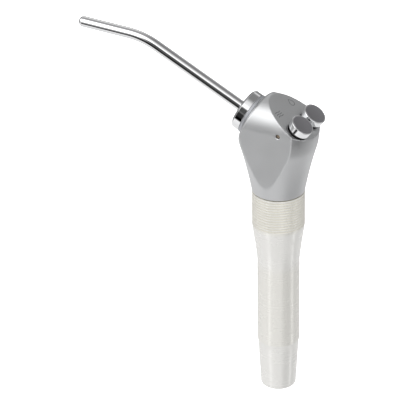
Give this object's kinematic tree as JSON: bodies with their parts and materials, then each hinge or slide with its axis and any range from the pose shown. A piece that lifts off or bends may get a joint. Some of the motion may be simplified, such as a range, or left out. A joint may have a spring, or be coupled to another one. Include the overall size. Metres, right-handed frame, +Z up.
{
  "type": "dental three-way syringe",
  "caption": "Dental air and water syringe: hollow handle, valve head with two push buttons, clamp nut and a bent nozzle tube.",
  "frame": {"origin": "centre of the handle's lower end, on the handle's axis", "axes": "+Z up the handle, +X forward to the nozzle's side, +Y to the air button's side"},
  "size_m": [0.0976, 0.0212, 0.1336],
  "materials": {
    "handle_cream": "pearly satin sleeve",
    "satin_metal": "bead-blasted satin",
    "button_metal": "dark satin top, polished rim",
    "chrome": "polished",
    "polished_steel": "polished tube",
    "spring_steel": "bright drawn",
    "nickel_brass": "nickel plated",
    "rubber": "matt"
  },
  "bodies": {
    "housing": {"handle_shell": "handle_cream", "head_body": "satin_metal", "head_ring": "satin_metal", "oring_washer": "spring_steel", "tip_oring": "rubber", "water_socket": "nickel_brass", "water_socket_seal": "rubber", "retaining_pin": "spring_steel", "handle_spigot": "nickel_brass", "handle_oring": "rubber", "spigot_gasket": "rubber", "air_barb": "nickel_brass", "air_barb_oring": "rubber", "air_valve_sleeve": "nickel_brass", "air_sleeve_oring_upper": "rubber", "air_sleeve_oring_lower": "rubber", "air_valve_spring": "spring_steel", "water_barb": "nickel_brass", "water_barb_oring": "rubber", "water_valve_sleeve": "nickel_brass", "water_sleeve_oring_upper": "rubber", "water_sleeve_oring_lower": "rubber", "water_valve_spring": "spring_steel"},
    "nozzle": {"nozzle_tube": "polished_steel", "nozzle_water_tube": "polished_steel"},
    "tip_slide": {"nozzle_ferrule": "nickel_brass"},
    "clamp": {"tip_collet": "nickel_brass"},
    "nut": {"nozzle_nut": "chrome"},
    "air_button": {"air_button_cap": "button_metal", "air_valve_stem": "spring_steel", "air_stem_oring": "rubber"},
    "water_button": {"water_button_cap": "button_metal", "water_valve_stem": "spring_steel", "water_stem_oring": "rubber"}
  },
  "joints": [
    {"name": "air_press", "type": "slide", "parent": "housing", "child": "air_button", "axis": [0.5764, 0, -0.8171], "range_m": [0, 0.001], "stiffness_N_per_m": 2500, "springref_m": -0.0006, "deforming": ["air_valve_spring"]},
    {"name": "water_press", "type": "slide", "parent": "housing", "child": "water_button", "axis": [0.5764, 0, -0.8171], "range_m": [0, 0.001], "stiffness_N_per_m": 2500, "springref_m": -0.0006, "deforming": ["water_valve_spring"]},
    {"name": "nut_feed", "type": "slide", "parent": "housing", "child": "clamp", "axis": [0.9048, 0, 0.4258], "range_m": [0, 0.0015]},
    {"name": "nut_turn", "type": "hinge", "parent": "clamp", "child": "nut", "pos_m": [0.0101, 0, 0.10985], "axis": [0.9048, 0, 0.4258], "range_deg": [0, 720]},
    {"name": "tip_pull", "type": "slide", "parent": "housing", "child": "tip_slide", "axis": [0.9048, 0, 0.4258], "range_m": [0, 0.016]},
    {"name": "tip_swivel", "type": "hinge", "parent": "tip_slide", "child": "nozzle", "pos_m": [0.0101, 0, 0.10985], "axis": [0.9048, 0, 0.4258], "continuous": true}
  ],
  "couplings": [
    {"joint": "nut_feed", "follows": "nut_turn", "m_per_rad": 0.00011937}
  ]
}
